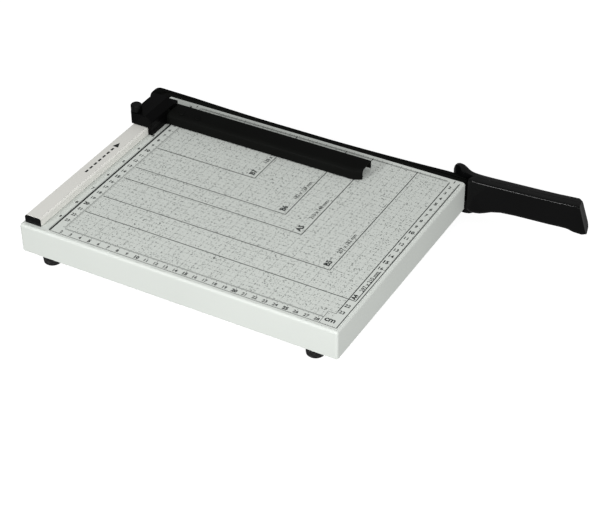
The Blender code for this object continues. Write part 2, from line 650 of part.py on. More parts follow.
def build_handle(arm):
    """Two moulded halves over the tang. The back half carries the finger guard."""
    front = handle_shell("handle_front", HANDLE_SPLIT, HANDLE_FRONT, HANDLE_CREST, GRIP_TOP_LINE,
                         GRIP_BOTTOM_LINE, 0.0)
    back = handle_shell("handle_back", HANDLE_SPLIT + GAP, HANDLE_BACK, HANDLE_ROUND,
                        GUARD_TOP_LINE + GRIP_TOP_LINE[1:], GUARD_BOTTOM_LINE + GRIP_BOTTOM_LINE[1:],
                        GUARD_SLANT)
    tang = plate("cutter_tang", arm_outline(GAP), ARM_INNER - 0.002, ARM_OUTER + GAP)
    front_depth = HANDLE_SPLIT + GAP - HANDLE_BLIND_END
    back_depth = HANDLE_BACK + GAP - HANDLE_SPLIT
    seat_depth = HANDLE_BACK + GAP - HANDLE_SCREW_SEAT
    front_holes = [hole(f"front_{i}", (x, HANDLE_BLIND_END, HANDLE_SCREW_Z), M4_HOLE, front_depth, "Y")
                   for i, x in enumerate(HANDLE_SCREW_X)]
    back_holes = [hole(f"back_{i}", (x, HANDLE_SPLIT, HANDLE_SCREW_Z), M4_HOLE, back_depth, "Y")
                  for i, x in enumerate(HANDLE_SCREW_X)]
    back_holes += [hole(f"seat_{i}", (x, HANDLE_SCREW_SEAT, HANDLE_SCREW_Z), HANDLE_SEAT_RADIUS, seat_depth,
                        "Y")
                   for i, x in enumerate(HANDLE_SCREW_X)]
    cut(front, arm, *front_holes)
    cut(back, arm, tang, *back_holes)
    finish(front, black_plastic(), arm)
    finish(back, black_plastic(), arm)
    for number, x in enumerate(HANDLE_SCREW_X, 1):
        place = (x, HANDLE_SCREW_SEAT + GAP, HANDLE_SCREW_Z)
        finish(screw(f"handle_screw_{number}", place, HANDLE_SCREW_LENGTH, "Y", -1), steel(), arm)


# --- Hinge block --------------------------------------------------------------------------------
def build_hinge_block(base):
    """The block over the fence's back end, its two screws, and the small knob on its front corner."""
    outline = [(BLOCK_LEFT, BLOCK_UNDER), (BLOCK_RIGHT, BLOCK_UNDER)]
    outline += [(BLOCK_RIGHT + x, BLOCK_TOP + z) for x, z in BLOCK_SHOULDER]
    outline += [(BLOCK_LEFT, BLOCK_TOP)]
    body = plate("hinge_block", outline, BLOCK_FRONT, BLOCK_BACK)
    soften(body, BLOCK_EDGE)
    leg = block("cutter_block_leg", (FENCE_RIGHT + GAP, LEG_FRONT, GAP),
                (BLOCK_RIGHT - GAP, LEG_BACK, BLOCK_UNDER + LEG_ROOT))
    boss_height = BLOCK_TOP - BLOCK_UNDER - 2 * GAP
    boss_profile = [(0, 0), (KNOB_BOSS_RADIUS, 0), (KNOB_BOSS_RADIUS, boss_height), (0, boss_height)]
    boss = turned("cutter_block_boss", boss_profile, (KNOB_X, KNOB_Y, BLOCK_UNDER + GAP))
    join(body, base, leg, boss)
    slot_outline = [(SLOT_LEFT, SLOT_BOTTOM), (SLOT_RIGHT, SLOT_BOTTOM), (SLOT_RIGHT, SLOT_MOUTH),
                    (CLAMP_PIN_X + EYE_RADIUS + CLEAR, SLOT_TOP), (SLOT_LEFT, SLOT_TOP)]
    slot = plate("cutter_block_slot", slot_outline, SLOT_FRONT, SLOT_BACK)
    step = block("cutter_block_step", (BLOCK_LEFT - CLEAR, BLOCK_STEP_Y, BLOCK_STEP_TOP),
                 (BLOCK_RIGHT + CLEAR, BLOCK_BACK + CLEAR, BLOCK_TOP + CLEAR))
    pin_hole = hole("block_pin", (CLAMP_PIN_X, PIN_FRONT - PIN_END_GAP, CLAMP_PIN_Z), PIN_HOLE,
                    PIN_LENGTH + 2 * PIN_END_GAP, "Y")
    knob_hole = hole("block_knob", (KNOB_X, KNOB_Y, KNOB_PIN_END - 0.0005), KNOB_PIN_HOLE, 0.010)
    screw_start = BLOCK_UNDER - CLEAR
    screw_depth = BLOCK_SCREW_TIP + PIN_END_GAP - screw_start
    screw_holes = [hole(f"block_{i}", (x, y, screw_start), M4_HOLE, screw_depth)
                   for i, (x, y) in enumerate(BLOCK_SCREWS)]
    cut(body, base, slot, step, pin_hole, knob_hole, *screw_holes)
    finish(body, black_plastic(), base)

    head = -SHEET - GAP
    for number, (x, y) in enumerate(BLOCK_SCREWS, 1):
        made = screw(f"hinge_block_screw_{number}", (x, y, head), BLOCK_SCREW_TIP - head)
        finish(made, steel(), base)

    foot = BLOCK_TOP + GAP
    ease = 0.0009
    profile = [(0, KNOB_PIN_END), (KNOB_PIN_RADIUS, KNOB_PIN_END), (KNOB_PIN_RADIUS, foot),
               (KNOB_RADIUS - GAP, foot), (KNOB_RADIUS, foot + 2 * GAP), (KNOB_RADIUS, KNOB_TOP - ease),
               (KNOB_RADIUS - ease, KNOB_TOP), (0, KNOB_TOP)]
    finish(turned("guard_knob", profile, (KNOB_X, KNOB_Y, 0)), black_plastic(), base)


# --- Clamp --------------------------------------------------------------------------------------
def clamp_section(front):
    """The clamp bar's cross-section: a front wall, a top and a short lip at the back."""
    sheet, top = CLAMP_SHEET, CLAMP_TOP
    big, small = CLAMP_BEND_RADIUS, CLAMP_BACK_RADIUS
    outer = [(front, CLAMP_FOOT)]
    outer += arc((front + big, top - big), big, 180, 90, 6)
    outer += arc((CLAMP_BACK - small, top - small), small, 90, 0, 4)
    outer += [(CLAMP_BACK, CLAMP_LIP)]
    inner = [(CLAMP_BACK - sheet, CLAMP_LIP)]
    inner += arc((CLAMP_BACK - small, top - small), small - sheet, 0, 90, 4)
    inner += arc((front + big, top - big), big - sheet, 90, 180, 6)
    inner += [(front + sheet, CLAMP_FOOT)]
    return outer + inner


def build_clamp_bar(clamp):
    """The paper clamp: a channel whose front wall turns in at the right end."""
    bend = CLAMP_RIGHT - CLAMP_NOSE
    stations = [(CLAMP_LEFT, 0.0)]
    steps = 5
    for i in range(steps + 1):
        share = i / steps
        stations.append((bend + CLAMP_NOSE * share, CLAMP_NOSE_SETBACK * share ** 2))
    loops = [[(x, y, z) for y, z in clamp_section(CLAMP_FRONT + setback)] for x, setback in stations]
    bar = loft("clamp_bar", loops)
    middle = (TONGUE_FRONT + TONGUE_BACK) / 2
    cut(bar, clamp, *[hole(f"clamp_rivet_{i}", (x, middle, 0.009), PIN_HOLE, 0.005)
                      for i, x in enumerate(RIVET_X)])
    finish(bar, black_paint(), clamp)

    pad_front = CLAMP_FRONT + CLAMP_SHEET + GAP
    pad_back = pad_front + PAD_THICKNESS
    pad = block("clamp_pad", (PAD_LEFT, pad_front, PAD_BOTTOM), (PAD_RIGHT, pad_back, PAD_TOP))
    finish(pad, rubber(), clamp)


def build_clamp_hinge(base, clamp):
    """Tongue and rivets on the clamp, pin and spring in the block."""
    top = CLAMP_TOP - CLAMP_SHEET - GAP
    thick = TONGUE_THICKNESS
    outline = arc((CLAMP_PIN_X, CLAMP_PIN_Z), EYE_RADIUS, 15, 270, 16)
    outline += [(0.0022, CLAMP_PIN_Z - EYE_RADIUS), (0.0040, top - thick), (TONGUE_RIGHT, top - thick),
                (TONGUE_RIGHT, top), (0.0044, top), (0.0024, top + 0.0018)]
    tongue = plate("clamp_tongue", outline, TONGUE_FRONT, TONGUE_BACK)
    middle = (TONGUE_FRONT + TONGUE_BACK) / 2
    cutters = [hole("tongue_eye", (CLAMP_PIN_X, TONGUE_FRONT - 0.001, CLAMP_PIN_Z), PIN_HOLE, 0.008, "Y")]
    cutters += [hole(f"tongue_{i}", (x, middle, 0.006), PIN_HOLE, 0.006) for i, x in enumerate(RIVET_X)]
    cut(tongue, clamp, *cutters)
    finish(tongue, black_paint(), clamp)

    head, low = CLAMP_TOP + GAP, top - thick - GAP
    for number, x in enumerate(RIVET_X, 1):
        profile = [(0, low - 0.0010), (0.0020, low - 0.0010), (0.0026, low - 0.0005), (0.0026, low),
                   (PIN_RADIUS, low), (PIN_RADIUS, head), (0.0029, head), (0.0022, head + 0.0006),
                   (0, head + 0.0006)]
        finish(turned(f"clamp_rivet_{number}", profile, (x, middle, 0), sides=12), black_paint(), clamp)

    pin = turned("clamp_pin", [(0, 0), (PIN_RADIUS, 0), (PIN_RADIUS, PIN_LENGTH), (0, PIN_LENGTH)],
                 (CLAMP_PIN_X, PIN_FRONT, CLAMP_PIN_Z), "Y", 12)
    finish(pin, steel(), base)
    finish(coil_spring(), steel(), base)


def coil_spring():
    """A torsion spring round the clamp's pin, with one leg up to the block and one over the tongue."""
    radius, per_turn = SPRING_COIL, 12
    path = [(radius + 0.0052, SPRING_FRONT, radius)]
    count = SPRING_TURNS * per_turn
    for i in range(count + 1):
        angle = pi / 2 + 2 * pi * i / per_turn
        y = SPRING_FRONT + (SPRING_BACK - SPRING_FRONT) * i / count
        path.append((radius * cos(angle), y, radius * sin(angle)))
    path.append((-radius - 0.0018, SPRING_BACK, radius))
    curve = bpy.data.curves.new("clamp_spring", "CURVE")
    curve.dimensions = "3D"
    line = curve.splines.new("POLY")
    line.points.add(len(path) - 1)
    for point, place in zip(line.points, path):
        point.co = (*place, 1.0)
    curve.bevel_depth = SPRING_WIRE
    curve.bevel_resolution = 1
    curve.use_fill_caps = True
    made = bpy.data.objects.new("clamp_spring", curve)
    bpy.context.collection.objects.link(made)
    made.location = (CLAMP_PIN_X, 0, CLAMP_PIN_Z)
    return made


def main():
    clear_scene()
    table = empty("table_frame", TABLE_ORIGIN)
    pivot_at, hinge_at = (PIVOT_X, 0, PIVOT_Z), (CLAMP_PIN_X, 0, CLAMP_PIN_Z)
    base = {"empty": table, "at": (0, 0, 0)}
    arm = {"empty": empty("arm_pivot", pivot_at, table), "at": pivot_at}
    clamp = {"empty": empty("clamp_hinge", hinge_at, table), "at": hinge_at}
    build_tray(base)
    build_rails(base)
    build_feet(base)
    build_fence(base)
    build_fixed_blade(base)
    build_pivot(base, arm)
    build_arm_bar(arm)
    build_knife(arm)
    build_handle(arm)
    build_hinge_block(base)
    build_clamp_bar(clamp)
    build_clamp_hinge(base, clamp)


main()
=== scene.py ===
"""Looks for the guillotine paper cutter: printed table, enamels, moulded plastic, steel, light and camera."""

import json
from math import radians

import bmesh
import bpy
from mathutils import Matrix, Vector


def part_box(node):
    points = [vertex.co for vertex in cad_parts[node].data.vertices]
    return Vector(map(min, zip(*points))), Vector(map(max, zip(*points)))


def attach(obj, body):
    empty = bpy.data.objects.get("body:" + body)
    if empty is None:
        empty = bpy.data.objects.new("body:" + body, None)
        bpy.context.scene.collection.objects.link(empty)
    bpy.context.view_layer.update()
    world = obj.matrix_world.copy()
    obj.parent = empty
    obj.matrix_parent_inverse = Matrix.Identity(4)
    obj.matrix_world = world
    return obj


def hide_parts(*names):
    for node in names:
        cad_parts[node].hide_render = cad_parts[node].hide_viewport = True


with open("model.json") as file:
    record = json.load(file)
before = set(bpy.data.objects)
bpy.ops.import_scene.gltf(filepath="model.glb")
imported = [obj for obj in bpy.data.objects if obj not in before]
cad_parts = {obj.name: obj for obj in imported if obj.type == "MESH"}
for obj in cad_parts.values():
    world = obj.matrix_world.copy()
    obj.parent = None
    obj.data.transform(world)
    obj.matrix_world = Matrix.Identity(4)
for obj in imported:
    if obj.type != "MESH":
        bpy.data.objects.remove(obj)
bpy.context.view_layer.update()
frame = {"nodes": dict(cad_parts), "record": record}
NODES = frame["nodes"]

MM = 0.001

# The print is laid out in millimetres from the paper stop (x) and the cut (y, negative to the front).
STOP_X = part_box("fence")[1][0] + 0.8 * MM
CUT_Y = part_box("counter_blade")[1][1]
TABLE_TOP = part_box("base_tray")[1][2]
ORIGIN = Vector((STOP_X, CUT_Y, TABLE_TOP))
INK_LIFT = 0.03                   # print lies this far over the paint

CM = 10
INCH = 25.4
HAIR, FINE, PLAIN, HEAVY = 0.2, 0.40, 0.82, 1.8      # line widths
PRINT_BACK = -9.3                 # upright lines start here, just in front of the cut
PRINT_FRONT = -249.5
PRINT_RIGHT = 299.8
BAND_BACK = -240.5                # back edge of the front ruler's band
BAND_BACK_END = 283               # right end of that edge
BAND_LEFT = 290.5                 # left edge of the right ruler's band
BAND_LEFT_FRONT = -229.5          # front end of that edge
EDGES_BACK = PRINT_BACK - 2       # back end of that edge and of the heavy line
BACK_TICKS = PRINT_BACK - 2.2     # front ends of the ticks along the cut
UNIT_BOX_LEFT = 283.2             # the unit mark's box takes the front right corner
UNIT_BOX_BACK = -232.5
STOP_LINE = 8.5                   # the heavy line beside the paper stop
SIDE_TICKS = 19.4                 # millimetre ticks of the left ruler
LEFT_TICKS_BACK = -9              # the left rulers' ticks are counted from here
RIGHT_TICKS_BACK = -10
SIDE_FIGURES = 13.6               # middles of the rows of figures
INCH_FIGURES = 4.6
RIGHT_FIGURES = 294.2
FRONT_FIGURES = -246.2
# sheet name, length along the cut, depth from the cut
SHEETS = (("B7", 128, 91), ("B6", 182, 128), ("A5", 210, 148), ("B5", 257, 182), ("A4", 297, 210))
A4_LINE_BACK = -163               # the line at the A4 sheet's end starts in front of the right figures
HALF_PITCH = 0.5                  # half the distance between the grid's dots
TOP_SKIN = 0.2                    # the dots are only on paint this near the table's top

RECESS_HALF_WIDTH = 0.45 * MM     # half the width of a cross recess's arms
RECESS_ARM = 4.2                  # half its span, in half widths
RECESS_DEPTH = 1.3 * MM
RECESS_TAPER = 0.6                # size of the recess's bottom against its mouth
RECESS_CLEAR = 0.2 * MM           # how far its cutter stands clear of the head
RECESS_SHARP = 38                 # degrees from which a screw's edges stay sharp
EASED_ABOVE = 32                  # degrees from which a piece's edges are rounded
# width of the rounded edges of each piece, and the angle under which its faces are merged
EASED = {"arm_bar": (0.5 * MM, 1.0), "clamp_bar": (0.35 * MM, 1.0), "fence": (0.3 * MM, 1.0),
         "fence_end_cap": (0.4 * MM, 1.0), "counter_blade": (0.2 * MM, 1.0),
         "handle_front": (0.3 * MM, 0.02), "handle_back": (0.3 * MM, 0.02)}

# The camera's place from the print's origin, the way it looks, its roll in degrees and its lens in mm.
CAMERA_PLACE = Vector((0.8176, -1.2122, 0.8878))
CAMERA_WAY = Vector((-0.39411, 0.69506, -0.60131))
CAMERA_ROLL = -0.645
CAMERA_LENS = 100.23


# --- Materials ----------------------------------------------------------------------------------
class Shader:
    """A material's node tree, with short calls for the nodes used here."""

    def __init__(self, name, colour, roughness, metallic=0.0, specular=0.5):
        self.material = bpy.data.materials.new(name)
        self.material.use_nodes = True
        self.tree = self.material.node_tree
        self.surface = self.tree.nodes["Principled BSDF"]
        self.surface.inputs["Base Color"].default_value = (*colour, 1.0)
        self.surface.inputs["Roughness"].default_value = roughness
        self.surface.inputs["Metallic"].default_value = metallic
        self.surface.inputs["Specular IOR Level"].default_value = specular
        self.material.diffuse_color = (*colour, 1.0)

    def node(self, kind, **settings):
        made = self.tree.nodes.new(kind)
        for key, value in settings.items():
            setattr(made, key, value)
        return made

    def link(self, source, target):
        self.tree.links.new(source, target)

    def place(self, scale=(1, 1, 1), shift=(0, 0, 0)):
        """The object's own coordinates in metres, scaled and then shifted."""
        mapping = self.node("ShaderNodeMapping")
        mapping.inputs["Scale"].default_value = scale
        mapping.inputs["Location"].default_value = shift
        self.link(self.node("ShaderNodeTexCoord").outputs["Object"], mapping.inputs["Vector"])
        return mapping.outputs["Vector"]

    def noise(self, scale, detail=2.0, stretch=(1, 1, 1)):
        made = self.node("ShaderNodeTexNoise")
        made.inputs["Scale"].default_value = scale
        made.inputs["Detail"].default_value = detail
        self.link(self.place(stretch), made.inputs["Vector"])
        return made.outputs["Fac"]

    def math(self, operation, *values):
        made = self.node("ShaderNodeMath", operation=operation)
        for socket, value in zip(made.inputs, values):
            if isinstance(value, (int, float)):
                socket.default_value = value
            else:
                self.link(value, socket)
        return made.outputs[0]

    def span(self, value, low, high, to_low, to_high):
        """The value's stretch from low to high, carried to another stretch and clamped."""
        made = self.node("ShaderNodeMapRange")
        for key, number in zip(("From Min", "From Max", "To Min", "To Max"), (low, high, to_low, to_high)):
            made.inputs[key].default_value = number
        self.link(value, made.inputs["Value"])
        return made.outputs["Result"]

    def mix(self, amount, first, second):
        """A mix of two colours, each a colour or a socket."""
        made = self.node("ShaderNodeMixRGB")
        self.link(amount, made.inputs["Fac"])
        for key, value in (("Color1", first), ("Color2", second)):
            if isinstance(value, tuple):
                made.inputs[key].default_value = (*value, 1.0)
            else:
                self.link(value, made.inputs[key])
        return made.outputs["Color"]

    def colour(self, socket):
        self.link(socket, self.surface.inputs["Base Color"])

    def roughness(self, socket):
        self.link(socket, self.surface.inputs["Roughness"])

    def bump(self, height, distance, strength):
        made = self.node("ShaderNodeBump")
        made.inputs["Distance"].default_value = distance
        made.inputs["Strength"].default_value = strength
        self.link(height, made.inputs["Height"])
        self.link(made.outputs["Normal"], self.surface.inputs["Normal"])


def tint(colour, factor):
    return tuple(channel * factor for channel in colour)


def enamel(shader, colour):
    """Sprayed enamel: faint colour clouds, orange peel and uneven gloss."""
    clouds = shader.noise(14, 4)
    paint = shader.mix(clouds, tint(colour, 0.965), tint(colour, 1.03))
    shader.roughness(shader.span(shader.noise(90, 3), 0.3, 0.7, 0.56, 0.68))
    shader.bump(shader.noise(900, 2), 0.03 * MM, 0.6)
    return paint


def folded(shader, axes, pitch):
    """How far each axis is from its nearest multiple of the pitch."""
    return [shader.math("PINGPONG", axis, pitch / 2) for axis in axes]


def on_line(shader, axes, pitch):
    """One on the print's lines of dots at a pitch, zero elsewhere."""
    return shader.math("LESS_THAN", shader.math("MINIMUM", *folded(shader, axes, pitch)), HALF_PITCH)


def on_crossing(shader, axes, pitch):
    """One where two of those lines cross, zero elsewhere."""
    return shader.math("LESS_THAN", shader.math("MAXIMUM", *folded(shader, axes, pitch)), HALF_PITCH)


def printed_table():
    """Grey-green enamel with the fine dotted grid, a dot each millimetre, printed between the rulers."""
    colour, ink = (0.643, 0.673, 0.638), (0.05, 0.06, 0.055)
    shader = Shader("table_enamel_printed", colour, 0.45, specular=0.14)
    paint = enamel(shader, colour)
    split = shader.node("ShaderNodeSeparateXYZ")
    to_print = 1 / MM
    shader.link(shader.place((to_print,) * 3, tuple(-to_print * ORIGIN)), split.inputs[0])
    x, y, z = split.outputs
    off_x, off_y = (shader.math("PINGPONG", axis, HALF_PITCH) for axis in (x, y))
    squares = (shader.math("MULTIPLY", off, off) for off in (off_x, off_y))
    off_dot = shader.math("SQRT", shader.math("ADD", *squares))
    on_five, on_ten = (on_line(shader, (x, y), pitch) for pitch in (5, 10))
    on_cross = on_crossing(shader, (x, y), 5)
    # Each dot's size has its own chance part, and a few dots come out much larger than the rest.
    cell = shader.node("ShaderNodeCombineXYZ")
    for axis, socket in zip((x, y), cell.inputs):
        shader.link(shader.math("ROUND", axis), socket)
    luck = shader.node("ShaderNodeTexWhiteNoise", noise_dimensions="2D")
    shader.link(cell.outputs[0], luck.inputs["Vector"])
    size = shader.math("MULTIPLY_ADD", shader.math("POWER", luck.outputs["Value"], 12.0), 0.52, 0.10)
    for marked, growth in ((on_five, 0.04), (on_ten, 0.08), (on_cross, 0.22)):
        size = shader.math("MULTIPLY_ADD", marked, growth, size)
    dot = shader.math("LESS_THAN", off_dot, size)
    for axis, low, high in ((x, SIDE_TICKS, BAND_LEFT), (y, BAND_BACK, PRINT_BACK)):
        dot = shader.math("MULTIPLY", dot, shader.math("GREATER_THAN", axis, low + HALF_PITCH))
        dot = shader.math("MULTIPLY", dot, shader.math("LESS_THAN", axis, high - HALF_PITCH))
    dot = shader.math("MULTIPLY", dot, shader.math("GREATER_THAN", z, -TOP_SKIN))
    worn = shader.span(shader.noise(130, 3), 0.35, 0.65, 0.55, 0.95)
    shader.colour(shader.mix(shader.math("MULTIPLY", dot, worn), paint, ink))
    return shader.material


def fence_enamel():
    colour = (0.73, 0.725, 0.685)
    shader = Shader("fence_enamel", colour, 0.45, specular=0.35)
    shader.colour(enamel(shader, colour))
    return shader.material


def printing_ink():
    """Screen-printed ink, slightly uneven."""
    shader = Shader("printing_ink", (0.015, 0.017, 0.017), 0.55, specular=0.2)
    shader.colour(shader.mix(shader.span(shader.noise(300, 3), 0.50, 0.80, 0.0, 1.0),
                             (0.012, 0.014, 0.014), (0.07, 0.08, 0.075)))
    shader.roughness(shader.span(shader.noise(500), 0.3, 0.7, 0.5, 0.65))
    return shader.material


def black_enamel():
    """Black stove enamel, a little wrinkled, with faint clouds of gloss."""
    shader = Shader("black_enamel", (0.0053, 0.0056, 0.0052), 0.42, specular=0.01)
    shader.colour(shader.mix(shader.noise(25, 4), (0.0045, 0.0048, 0.0044), (0.0066, 0.0069, 0.0064)))
    shader.roughness(shader.span(shader.noise(60, 4), 0.3, 0.7, 0.34, 0.48))
    shader.bump(shader.noise(700, 3), 0.04 * MM, 0.7)
    return shader.material


def moulded_black(name, gloss):
    """Moulded black plastic with a fine eroded grain, under a skin of a given gloss."""
    shader = Shader(name, (0.0022, 0.0022, 0.0023), 0.42, specular=0.02)
    shader.surface.inputs["Coat Weight"].default_value = gloss
    shader.surface.inputs["Coat Roughness"].default_value = 0.14
    shader.colour(shader.mix(shader.noise(35, 3), (0.0018, 0.0018, 0.0019), (0.0027, 0.0027, 0.0028)))
    grain = shader.node("ShaderNodeTexVoronoi")
    grain.inputs["Scale"].default_value = 1500
    shader.link(shader.place(), grain.inputs["Vector"])
    shader.bump(grain.outputs["Distance"], 0.03 * MM, 0.6)
    shader.roughness(shader.span(shader.noise(45, 3), 0.3, 0.7, 0.34, 0.50))
    return shader.material


def soft_rubber():
    """Matt rubber with dust in its pores."""
    shader = Shader("soft_rubber", (0.012, 0.012, 0.012), 0.8, specular=0.2)
    shader.colour(shader.mix(shader.span(shader.noise(400, 4), 0.5, 0.8, 0.0, 1.0),
                             (0.010, 0.010, 0.010), (0.045, 0.044, 0.042)))
    shader.roughness(shader.span(shader.noise(200), 0.3, 0.7, 0.7, 0.9))
    shader.bump(shader.noise(1200, 2), 0.05 * MM, 0.6)
    return shader.material


def zinc_plate():
    """Bright zinc plating with cloudy spangle."""
    shader = Shader("zinc_plate", (0.60, 0.61, 0.63), 0.3, metallic=1.0)
    shader.colour(shader.mix(shader.noise(180, 4), (0.50, 0.51, 0.53), (0.70, 0.71, 0.73)))
    shader.roughness(shader.span(shader.noise(320, 3), 0.3, 0.7, 0.24, 0.42))
    shader.bump(shader.noise(1500, 2), 0.01 * MM, 0.5)
    return shader.material


def ground_blade():
    """Ground tool steel: fine upright grinding lines and slightly uneven brightness along the blade."""
    shader = Shader("ground_blade_steel", (0.62, 0.63, 0.64), 0.25, metallic=1.0)
    lines = shader.noise(60, 6, (90, 1, 2))
    shader.colour(shader.mix(lines, (0.50, 0.51, 0.52), (0.74, 0.75, 0.76)))
    shader.roughness(shader.span(lines, 0.3, 0.7, 0.18, 0.36))
    shader.bump(lines, 0.01 * MM, 0.5)
    return shader.material


def bearing_bronze():
    shader = Shader("bearing_bronze", (0.50, 0.33, 0.15), 0.35, metallic=1.0)
    shader.colour(shader.mix(shader.noise(300, 4), (0.38, 0.25, 0.11), (0.58, 0.40, 0.20)))
    shader.roughness(shader.span(shader.noise(500), 0.3, 0.7, 0.3, 0.5))
    return shader.material


LOOKS = {"table_paint": printed_table(), "fence_paint": fence_enamel(), "black_paint": black_enamel(),
         "black_plastic": moulded_black("moulded_black_plastic", 0.26), "rubber": soft_rubber(),
         "steel": zinc_plate(), "ground_steel": ground_blade(), "bronze": bearing_bronze()}
# The hinge block is duller than the other moulded pieces.
NODE_LOOKS = {"hinge_block": moulded_black("moulded_black_matt", 0.08)}
INK = printing_ink()
SLOT_OF = {entry["node"]: entry["material_slot"] for entry in frame["record"]["subparts"]}
BODY_OF = {node: body for body, nodes in frame["record"]["behaviour"]["bodies"].items() for node in nodes}


def dress_nodes():
    """Every CAD node takes its own detailed material, or else that of its slot."""
    for name, node in NODES.items():
        for slot in node.material_slots:
            slot.material = NODE_LOOKS.get(name, LOOKS[SLOT_OF[name]])


# --- Pieces -------------------------------------------------------------------------------------
def add_piece(name, mesh, look, body):
    """A new piece on a body, with a material."""
    mesh.materials.clear()
    mesh.materials.append(look)
    piece = bpy.data.objects.new(name, mesh)
    bpy.context.collection.objects.link(piece)
    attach(piece, body)
    return piece


def node_shape(node, name, flat):
    """A CAD node's own shape. Faces that meet flatter than an angle in degrees are merged."""
    shape = bmesh.new()
    shape.from_mesh(NODES[node].data)
    bmesh.ops.remove_doubles(shape, verts=shape.verts, dist=0.001 * MM)
    bmesh.ops.dissolve_limit(shape, angle_limit=radians(flat), verts=shape.verts, edges=shape.edges)
    mesh = bpy.data.meshes.new(name)
    shape.to_mesh(mesh)
    shape.free()
    # The node's own normals are flat, and would hide the rounding.
    mesh.attributes.remove(mesh.attributes["custom_normal"])
    return mesh


def stand_in(node, name, mesh):
    """A piece of the node's body and slot that stands for the node."""
    piece = add_piece(name, mesh, LOOKS[SLOT_OF[node]], BODY_OF[node])
    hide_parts(node)
    return piece


def ease_edges(node, width, flat):
    """The node with its sharp edges slightly rounded."""
    mesh = node_shape(node, node + "_eased", flat)
    mesh.shade_smooth()
    piece = stand_in(node, node + "_eased", mesh)
    edge = piece.modifiers.new("eased_edges", "BEVEL")
    edge.width = width
    edge.segments = 2
    edge.limit_method = "ANGLE"
    edge.angle_limit = radians(EASED_ABOVE)
    edge.harden_normals = True


def cross_prism(centre, top):
    """A tapered cross, pointing forward from just behind a screw head's back face."""
    corners = ((1, 1), (1, RECESS_ARM), (-1, RECESS_ARM), (-1, 1), (-RECESS_ARM, 1), (-RECESS_ARM, -1),
               (-1, -1), (-1, -RECESS_ARM), (1, -RECESS_ARM), (1, -1), (RECESS_ARM, -1), (RECESS_ARM, 1))
    points = []
    for y, size in ((top + RECESS_CLEAR, 1.0), (top - RECESS_DEPTH, RECESS_TAPER)):
        points += [(centre.x + x * size * RECESS_HALF_WIDTH, y, centre.z + z * size * RECESS_HALF_WIDTH)
                   for x, z in corners]
    count = len(corners)
    faces = [tuple(range(count)), tuple(reversed(range(count, 2 * count)))]
    faces += [(i, i + count, (i + 1) % count + count, (i + 1) % count) for i in range(count)]
    mesh = bpy.data.meshes.new("cross_recess")
    mesh.from_pydata(points, [], faces)
    shape = bmesh.new()
    shape.from_mesh(mesh)
    bmesh.ops.recalc_face_normals(shape, faces=shape.faces)
    shape.to_mesh(mesh)
    shape.free()
    return mesh


def cross_head(node):
    """The screw with a cross recess in its head, which faces back."""
    low, high = (Vector(corner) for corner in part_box(node))
    blank = bpy.data.objects.new("screw_blank", node_shape(node, "screw_blank", 1.0))
    tool = bpy.data.objects.new("screw_recess", cross_prism((low + high) / 2, high.y))
    for made in (blank, tool):
        bpy.context.collection.objects.link(made)
    change = blank.modifiers.new("recess", "BOOLEAN")
    change.object = tool
    change.operation = "DIFFERENCE"
    change.solver = "EXACT"
    mesh = bpy.data.meshes.new_from_object(blank.evaluated_get(bpy.context.evaluated_depsgraph_get()))
    for made in (blank, tool):
        bpy.data.objects.remove(made)
    mesh.name = node + "_cross_head"
    mesh.shade_smooth()
    mesh.set_sharp_from_angle(angle=radians(RECESS_SHARP))
    stand_in(node, mesh.name, mesh)


# --- Print --------------------------------------------------------------------------------------
def bar(x_low, y_low, x_high, y_high):
    """A filled rectangle of ink."""
    return [(x_low, y_low), (x_high, y_low), (x_high, y_high), (x_low, y_high)]


def along(x_low, x_high, y, width=PLAIN):
    """A line along the cut."""
    return bar(x_low, y - width / 2, x_high, y + width / 2)


def upright(x, y_low, y_high, width=PLAIN):
    """A line away from the cut."""
    return bar(x - width / 2, y_low, x + width / 2, y_high)


def ink_mesh(name, shapes, height=0.0):
    """Flat ink in the print's millimetres, over the paint at a height."""
    points, faces = [], []
    for shape in shapes:
        faces.append(tuple(range(len(points), len(points) + len(shape))))
        points += [ORIGIN + MM * Vector((x, y, height + INK_LIFT)) for x, y in shape]
    mesh = bpy.data.meshes.new(name)
    mesh.from_pydata(points, [], faces)
    add_piece(name, mesh, INK, "base")


def ticks(count, pitch, lengths, draw):
    """Ruler ticks. Every fifth and every tenth is longer."""
    short, middle, long = lengths
    shapes = []
    for number in range(1, count + 1):
        reach = long if number % 10 == 0 else middle if number % 5 == 0 else short
        shapes.append(draw(number * pitch, reach))
    return shapes


def sheet_outlines():
    """Two sides of each standard sheet, its other two being the cut and the paper stop."""
    shapes = []
    for name, length, depth in SHEETS:
        back = A4_LINE_BACK if name == "A4" else PRINT_BACK
        shapes.append(along(SIDE_TICKS + 1, length, -depth))
        shapes.append(upright(length, -depth, back))
    return shapes


def front_tick(at, reach):
    return upright(SIDE_TICKS + at, BAND_BACK - reach, BAND_BACK, FINE)


def side_tick(at, reach):
    return along(SIDE_TICKS - reach, SIDE_TICKS, LEFT_TICKS_BACK - at, FINE)


def right_tick(at, reach):
    return along(PRINT_RIGHT - reach, PRINT_RIGHT, RIGHT_TICKS_BACK - at, FINE)


def side_inch_tick(at, reach):
    return along(STOP_LINE - reach - HEAVY / 2, STOP_LINE, LEFT_TICKS_BACK - at, FINE)


def front_inch_tick(at, reach):
    return upright(STOP_LINE + at, PRINT_FRONT, PRINT_FRONT + reach, FINE)


def back_tick(at, reach):
    return upright(SIDE_TICKS + at, BACK_TICKS, BACK_TICKS + reach, FINE)


